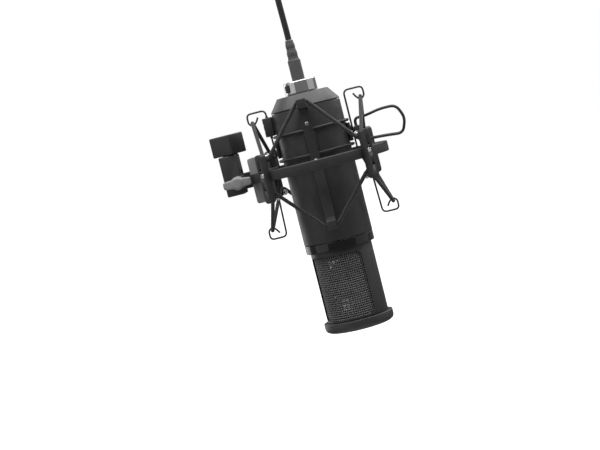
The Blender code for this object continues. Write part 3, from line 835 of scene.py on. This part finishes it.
# %% [markdown]
# ## The outer ring
#
# The ring is a moulded band with four flat posts, and a neck at the left that ends in the eye of
# the tilt hinge.  Each post carries two bright pegs on its inner side and a screw on its face.
# The band is turned.  The posts are blocks whose ends are rounded before they are set round it,
# because an edge is easiest to pick while it still runs along X, Y or Z.

# %% Ring, posts and neck
RING_IN, RING_OUT, RING_HALF = 41.5, 46.4, 3.3
POST_IN, POST_OUT, POST_HALF, POST_TOP, POST_LOW = 45.6, 50.2, 3.1, 14.8, -17.0
PIVOT_X, TONGUE_R, TONGUE_HALF, BOLT_R, SCREW_Z = -54.0, 5.2, 3.6, 2.3, 1.0
band = turned("ring_band", [(RING_OUT, RING_HALF), (RING_OUT, -RING_HALF), (RING_IN, -RING_HALF),
                            (RING_IN, RING_HALF)], 144, 0.6)
placed(band)
neck = placed(block("neck", (PIVOT_X, -TONGUE_HALF, -TONGUE_R),
                    (-RING_OUT + 2.5, TONGUE_HALF, TONGUE_R), 0.5))
eye = placed(rod("eye", (PIVOT_X, -TONGUE_HALF, 0), (PIVOT_X, TONGUE_HALF, 0), TONGUE_R, 48,
                 soft=0.4))
fused(neck, eye, "UNION")
fused(neck, placed(rod("bore", (PIVOT_X, -8, 0), (PIVOT_X, 8, 0), BOLT_R + GAP, 32)))
finished(band, moulded_abs, "ring", "black_plastic", "outer_ring")
neck.name = "ring_neck"
finished(neck, moulded_abs, "ring", "black_plastic")
for name, azimuth in POSTS.items():
    post = block(f"ring_post_{name}", (POST_IN, -POST_HALF, POST_LOW),
                 (POST_OUT, POST_HALF, POST_TOP), 0)
    eased(round_edges(post, 0, 2.4), 0.4)
    for z in (5.0, -8.0):
        fused(post, rod("post_hole", (POST_OUT - 2, 0, z), (POST_OUT + 1, 0, z), 0.9, 24))
    fused(post, rod("screw_seat", (POST_OUT - 0.9, 0, SCREW_Z), (POST_OUT + 1, 0, SCREW_Z), 2.0, 32))
    finished(placed(post, turn=(0, 0, azimuth)), moulded_abs, "ring", "black_plastic")
print("ring and posts ready")

# %% [markdown]
# Screws and pegs are small turned parts, plated so that they wink out of the shadow.  Each is
# modelled once, standing up at the middle, and then copied, laid over and set on its post.

# %% Screws and pegs
screw = turned("screw_head", [(0, 0), (1.9, 0), (1.9, 0.35), (1.5, 0.75), (0.8, 0.95), (0, 0.95)],
               32, 0.1)
for turn_deg in (0, 90):
    slot = block("cross_slot", (-1.1, -0.2, 0.55), (1.1, 0.2, 1.4), 0)
    slot.rotation_euler.z = math.radians(turn_deg)
    active(slot)
    bpy.ops.object.transform_apply(rotation=True)
    fused(screw, slot)
PEG_HEAD_R, PEG_R, PEG_TIP = 1.9, 1.0, 41.0
peg_long = POST_IN - GAP - PEG_TIP
peg = turned("peg", [(0, peg_long), (PEG_HEAD_R, peg_long), (PEG_HEAD_R, peg_long - 0.9),
                     (PEG_R, peg_long - 0.9), (PEG_R, 0), (0, 0)], 32, 0.2)
for name, azimuth in POSTS.items():
    head = copied(screw, f"post_screw_{name}")
    spot = around(azimuth, POST_OUT - 0.9, 0, SCREW_Z)
    finished(placed(head, spot, (0, 90, azimuth)), chrome, "ring", "chrome")
    for level, height in (("upper", 12.6), ("lower", -14.8)):
        pin = copied(peg, f"elastic_peg_{level}_{name}")
        spot = around(azimuth, POST_IN - GAP, 0, height)
        finished(placed(pin, spot, (0, -90, azimuth)), chrome, "ring", "chrome",
                 f"peg_{level}_{name}")
for spare in (screw, peg):
    bpy.data.objects.remove(spare, do_unlink=True)
print("screws and pegs ready")

# %% [markdown]
# Two paler plates stand beside the neck, where the hinge's halves are clamped.  They are blocks
# with their corners rounded in the side view, and then all of their edges are softened a little.

# %% Cheek plates beside the neck
CHEEK_LEFT, CHEEK_RIGHT, CHEEK_LOW, CHEEK_TOP, CHEEK_HALF = -45.2, -38.6, -16.4, 13.6, 1.2
for name, y in (("front", -8.1), ("back", 8.1)):
    cheek = block(f"ring_cheek_{name}", (CHEEK_LEFT, y - CHEEK_HALF, CHEEK_LOW),
                  (CHEEK_RIGHT, y + CHEEK_HALF, CHEEK_TOP), 0)
    eased(round_edges(cheek, 1, 1.6, 6), 0.3)
    finished(placed(cheek), grey_abs, "ring", "black_plastic")
print("cheeks ready")

# %% [markdown]
# ## The swivel
#
# A square socket screws onto the boom arm's stud.  Its spindle carries a forked yoke, and the
# ring's eye sits in the fork on a bolt, which a wing knob pulls tight.  The socket's thread could
# be a bump, but its turns show at the bore's mouth, so a small triangle is screwed up the wall.

# %% Socket
SPINDLE_X, SOCKET_SIDE, SOCKET_TOP, SOCKET_LOW, SOCKET_BORE = -56.0, 16.3, 32.2, 19.0, 5.3
half = SOCKET_SIDE / 2
socket = block("stand_socket_block", (-half, -half, SOCKET_LOW), (half, half, SOCKET_TOP), 0.8)
fused(socket, rod("socket_bore", (0, 0, 10), (0, 0, 40), SOCKET_BORE, 64))
eased(socket, 0.2, 2, 60)
finished(placed(socket, (SPINDLE_X, 0, 0), (0, 0, -31)), moulded_abs, "socket", "black_plastic",
         "stand_socket")
THREAD_PITCH, THREAD_TURNS = 1.2, 4
clear()
bpy.ops.mesh.primitive_circle_add(vertices=3, radius=0.55 * MM, fill_type="NGON")
thread = bpy.context.object
thread.name = "stud_thread"
edit(thread)
bpy.ops.transform.rotate(value=math.radians(90), orient_axis="X", center_override=(0, 0, 0))
bpy.ops.transform.translate(value=((SOCKET_BORE - 0.15) * MM, 0, 26.9 * MM))
bpy.ops.object.mode_set(mode="OBJECT")
apply(thread, "SCREW", angle=math.radians(360), screw_offset=THREAD_PITCH * MM, steps=48,
      render_steps=48, iterations=THREAD_TURNS, use_merge_vertices=True, merge_threshold=0.00001)
edit(thread)
bpy.ops.mesh.normals_make_consistent(inside=False)
bpy.ops.object.mode_set(mode="OBJECT")
finished(placed(thread, (SPINDLE_X, 0, 0)), zinc, "socket", "zinc_steel")
print("socket ready")

# %% [markdown]
# The yoke is one moulding, so its block, lug and spindle are joined before its slot and its bore
# are cut.  The wings of the knob are cubes that are drawn thinner at their ends and subdivided,
# which gives the soft grip that straight bevels don't.

# %% Yoke
YOKE_LEFT, YOKE_RIGHT, YOKE_HALF, YOKE_TOP, YOKE_LOW = -63.3, -51.2, 9.0, 18.7, -7.9
yoke = block("yoke_fork", (YOKE_LEFT, -YOKE_HALF, YOKE_LOW), (YOKE_RIGHT, YOKE_HALF, YOKE_TOP), 0.9)
fused(yoke, rod("lug", (PIVOT_X, -YOKE_HALF, 0), (PIVOT_X, YOKE_HALF, 0), 5.4, 48, soft=0.5), "UNION")
fused(yoke, rod("spindle", (SPINDLE_X, 0, YOKE_TOP - 2), (SPINDLE_X, 0, 26.4),
                SOCKET_BORE - GAP, 48, soft=0.3), "UNION")
fused(yoke, block("fork_slot", (-70, -4.7, -12), (-40, 4.7, 8.0), 0.8))
fused(yoke, rod("fork_bore", (PIVOT_X, -12, 0), (PIVOT_X, 12, 0), BOLT_R + GAP, 32))
finished(placed(yoke), moulded_abs, "yoke", "black_plastic", "swivel_yoke")
bpy.ops.object.shade_smooth_by_angle(angle=math.radians(38))
print("yoke", len(yoke.data.polygons))

# %% Bolt
bolt = rod("tilt_bolt", (PIVOT_X, -17.5, 0), (PIVOT_X, 10, 0), BOLT_R, 32)
head = rod("bolt_head", (PIVOT_X, YOKE_HALF + GAP, 0), (PIVOT_X, 12.6, 0), 4.2, 6, soft=0.4)
fused(bolt, head, "UNION")
finished(placed(bolt), zinc, "yoke", "zinc_steel", "pivot_bolt")
print("bolt", len(bolt.data.polygons))

# %% Wing knob
knob = turned("knob_hub", [(0, 9.3), (4.4, 9.3), (4.4, 17.5), (3.9, 19.4), (3.0, 20.0), (0, 20.0)],
              48, 0.3)
knob.rotation_euler.x = math.radians(90)
active(knob)
bpy.ops.object.transform_apply(rotation=True)
for side in (-1, 1):
    clear()
    bpy.ops.mesh.primitive_cube_add(size=1)
    wing = bpy.context.object
    edit(wing)
    bpy.ops.transform.resize(value=(9 * MM, 4.4 * MM, 6.6 * MM))
    bpy.ops.transform.translate(value=(side * 4.9 * MM, -17.6 * MM, 0))
    choose(wing, lambda face: face.normal.x * side > 0.9)
    bpy.ops.transform.resize(value=(1, 0.62, 0.75), center_override=(0, -17.9 * MM, 0))
    bpy.ops.object.mode_set(mode="OBJECT")
    apply(wing, "BEVEL", width=1.0 * MM, segments=2)
    apply(wing, "SUBSURF", levels=2, render_levels=2)
    bpy.ops.object.shade_smooth()
    fused(knob, wing, "UNION")
fused(knob, rod("knob_bore", (0, -18, 0), (0, 0, 0), BOLT_R + GAP, 32))
active(knob)
knob.name = "wing_nut"
bpy.ops.object.shade_smooth_by_angle(angle=math.radians(45))
finished(placed(knob, (PIVOT_X, 0, 0)), grey_abs, "knob", "black_plastic", "wing_knob")
print("knob", len(knob.data.polygons))

# %% [markdown]
# ## The capsule behind the mesh
#
# A side-address capsule stands upright, facing the window.  Its dark anodised body carries a
# clamp ring with a circle of small screw holes over a metal-sputtered film.  Little of it shows
# through the mesh, yet a flat disc would give itself away by its missing rim of light.

# %% Capsule
CAPSULE_Z, CAPSULE_R = -79.0, 12.5
facing = (90, 0, WINDOW_TURN)
disc = turned("capsule_body", [(0, -4), (CAPSULE_R, -4), (CAPSULE_R, -0.6), (CAPSULE_R - 0.6, 0),
                               (CAPSULE_R, 0.6), (CAPSULE_R, 4), (0, 4)], 96, 0.2)
finished(placed(disc, (0, 0, CAPSULE_Z), facing), dark_anodised, "cradle", "brass",
         "capsule_housing")
clamp = turned("capsule_clamp", [(CAPSULE_R, 4.3), (CAPSULE_R, 5.6), (CAPSULE_R - 3, 5.6),
                                 (CAPSULE_R - 3, 4.3)], 96, 0.2)
for step in range(8):
    spot = Vector((math.cos(step * math.pi / 4), math.sin(step * math.pi / 4), 0)) * 11
    hole = rod("clamp_screw", spot + Vector((0, 0, 5.1)), spot + Vector((0, 0, 6)), 0.8, 16)
    fused(clamp, hole)
finished(placed(clamp, (0, 0, CAPSULE_Z), facing), dark_anodised, "cradle", "brass",
         "capsule_clamp_ring")
film = turned("capsule_film", [(0, 4.3), (9.2, 4.3), (9.2, 4.6), (0, 4.6)], 96, 0.05)
finished(placed(film, (0, 0, CAPSULE_Z), facing), film_metal, "cradle", "gold_film",
         "capsule_diaphragm")
print("capsule ready")

# %% [markdown]
# ## Parts that keep their plain shape
#
# What is inside the housing keeps its part from the frame, and gets a real finish.  Modelling it
# more finely would show nowhere, while a wrong colour would show through the mesh.

# %% Finishes of the inner parts
INNER = {moulded_abs: ("xlr_insert", "plug_insert", "capsule_saddle", "capacitor_large",
                       "capacitor_small"),
         brass: ("xlr_pin_1", "xlr_pin_2", "xlr_pin_3"),
         zinc: ("chassis_rail_left", "chassis_rail_right", "output_transformer",
                "capsule_bulkhead"),
         board_green: ("circuit_board",),
         red_pvc: ("capsule_wire_left", "capsule_wire_right")}
for finish, names in INNER.items():
    for name in names:
        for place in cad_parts[name].material_slots:
            place.material = finish
print(sum(len(names) for names in INNER.values()), "inner parts finished")

# %% [markdown]
# ## Floor and light
#
# A plain pale floor and an even surround keep the background white, and the surround lights the
# object only dimly, so that black stays black.  One large soft light stands at the left for the
# long highlight down the body, and a weaker one at the right opens up the far side.  A wide one
# overhead picks out the tail's cone, two behind draw the rims, and a small one below lifts the
# undersides.  Nothing large is lit in front, which is why the glossy collar reads as black.

# %% Floor
bpy.ops.mesh.primitive_plane_add(size=14, location=(0, 0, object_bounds()[0].z - 0.25))
floor = bpy.context.object
floor.name = "pale_floor"
pale, tree, shader = shaded("pale_floor_paint", "#fbfbfb", Roughness=0.9)
shader.inputs["Emission Color"].default_value = (1, 1, 1, 1)
shader.inputs["Emission Strength"].default_value = 1.0
floor.data.materials.append(pale)
floor.visible_glossy = floor.visible_diffuse = False
print("floor at", round(floor.location.z, 3))


# %% Lights
def softbox(name, bearing, height, away, width, tall, brightness):
    """A soft light aimed at the body; bearing is in degrees to the right of the camera."""
    a = math.radians(bearing)
    spot = aim + (view_back * math.cos(a) + view_right * math.sin(a)) * away
    spot.z += height
    bpy.ops.object.light_add(type="AREA", location=spot)
    lamp = bpy.context.object
    lamp.name = name
    lamp.data.shape = "RECTANGLE"
    lamp.data.size, lamp.data.size_y = width, tall
    lamp.data.energy = brightness * math.pi * width * tall
    lamp.rotation_euler = (spot - aim).to_track_quat("Z", "Y").to_euler()
    lamp.visible_camera = False
    return lamp


softbox("left_softbox", -66, 0.3, 1.2, 1.2, 1.5, 0.45)
softbox("right_softbox", 82, 0.1, 1.2, 1.3, 1.3, 0.3)
softbox("overhead_softbox", 10, 1.2, 0.25, 2.2, 1.8, 3.4)
softbox("back_left_softbox", -140, 0.3, 1.3, 0.9, 1.3, 1.2)
softbox("back_right_softbox", 130, 0.8, 1.2, 1.2, 1.2, 2.0)
softbox("floor_bounce", 0, -0.45, 0.1, 0.9, 0.9, 0.5)
print("lights ready")

# %% White surround
world = bpy.data.worlds.new("white_surround")
bpy.context.scene.world = world
world.use_nodes = True
tree = world.node_tree
surround = tree.nodes["Background"]
seen = node(tree, "ShaderNodeLightPath").outputs["Is Camera Ray"]
level = node(tree, "ShaderNodeMapRange", {"Value": seen, "To Min": 0.21, "To Max": 1.0})
surround.inputs["Color"].default_value = (1, 1, 1, 1)
tree.links.new(level.outputs["Result"], surround.inputs["Strength"])
bpy.context.scene.view_settings.view_transform = "Standard"
print("surround ready")
